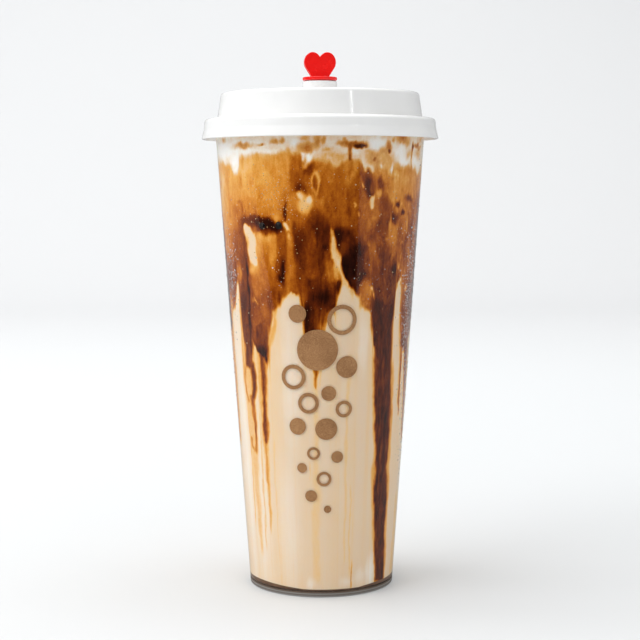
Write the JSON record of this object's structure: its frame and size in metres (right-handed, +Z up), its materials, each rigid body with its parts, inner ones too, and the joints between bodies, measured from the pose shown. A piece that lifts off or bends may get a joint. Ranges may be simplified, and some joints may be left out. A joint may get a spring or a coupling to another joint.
{
  "type": "bubble tea",
  "caption": "Layered bubble tea in a clear tapered plastic cup, with a domed white snap lid and a red heart stopper.",
  "frame": {"origin": "middle of the cup's foot, on the plane it stands on", "axes": "+Z up through the cup and the stopper; the shown side faces -Y, with +X to its right"},
  "size_m": [0.0984, 0.0984, 0.2219],
  "materials": {
    "clear_plastic": "clear glossy moulded plastic with fine drops of condensation and a soft printed pattern outside",
    "white_plastic": "smooth semi-gloss moulded plastic",
    "red_plastic": "smooth glossy moulded plastic",
    "milk": "sweet cream-coloured milk with amber streaks and dark runs of syrup",
    "milk_tea": "brown milk tea, mottled from amber to nearly black",
    "cream": "soft pale foam with caramel blotches",
    "syrup": "dark brown sugar syrup",
    "tapioca": "glossy, nearly black cooked tapioca"
  },
  "bodies": {
    "root": {"cup": "clear_plastic", "lid": "white_plastic", "stopper": "red_plastic", "milk": "milk", "milk_tea": "milk_tea", "cream_foam": "cream", "syrup_pool": "syrup", "pearl_1": "tapioca", "pearl_2": "tapioca"}
  },
  "joints": []
}
